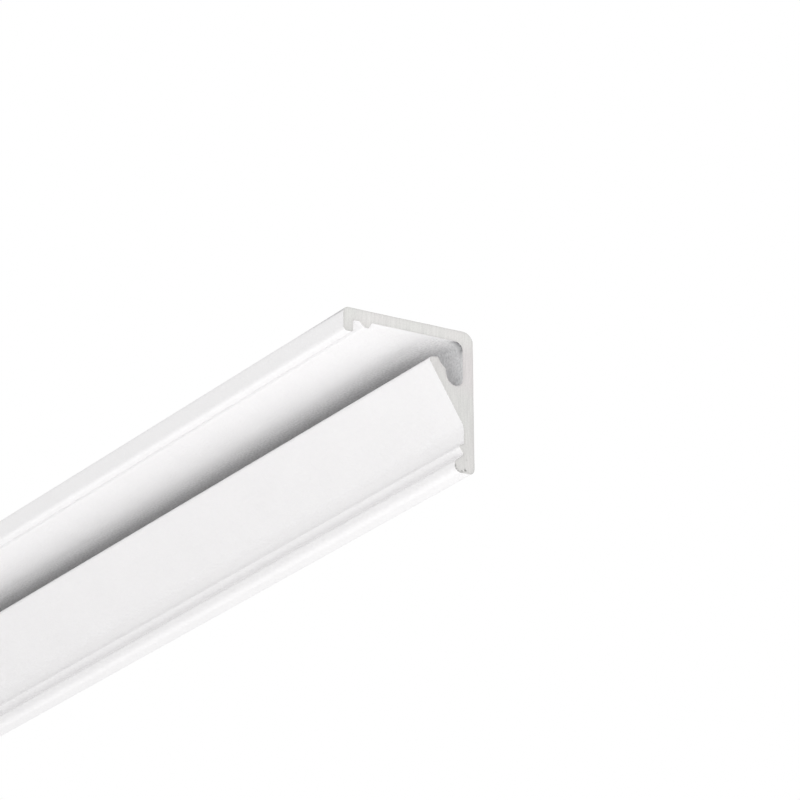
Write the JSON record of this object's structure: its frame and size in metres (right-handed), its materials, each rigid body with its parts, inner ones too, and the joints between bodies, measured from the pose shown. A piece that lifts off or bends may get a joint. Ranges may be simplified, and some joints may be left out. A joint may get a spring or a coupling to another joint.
{
  "type": "led strip aluminium profile",
  "caption": "White-coated aluminium corner extrusion for an LED strip: two equal legs with snap lips and a slanted shelf rising from the wall leg.",
  "frame": {"origin": "middle of the top leg's outer face, halfway along the bar", "axes": "+X along the bar, towards the cut end that the picture shows; +Y out of the wall leg, towards the wall; +Z out of the top leg, towards the ceiling. The open side with the shelf faces -Y and -Z."},
  "size_m": [0.5, 0.0184, 0.0185],
  "materials": {
    "white_coating": "satin white powder coat on extruded aluminium, bare metal on the two saw-cut ends"
  },
  "bodies": {
    "root": {"corner_profile": "white_coating"}
  },
  "joints": []
}
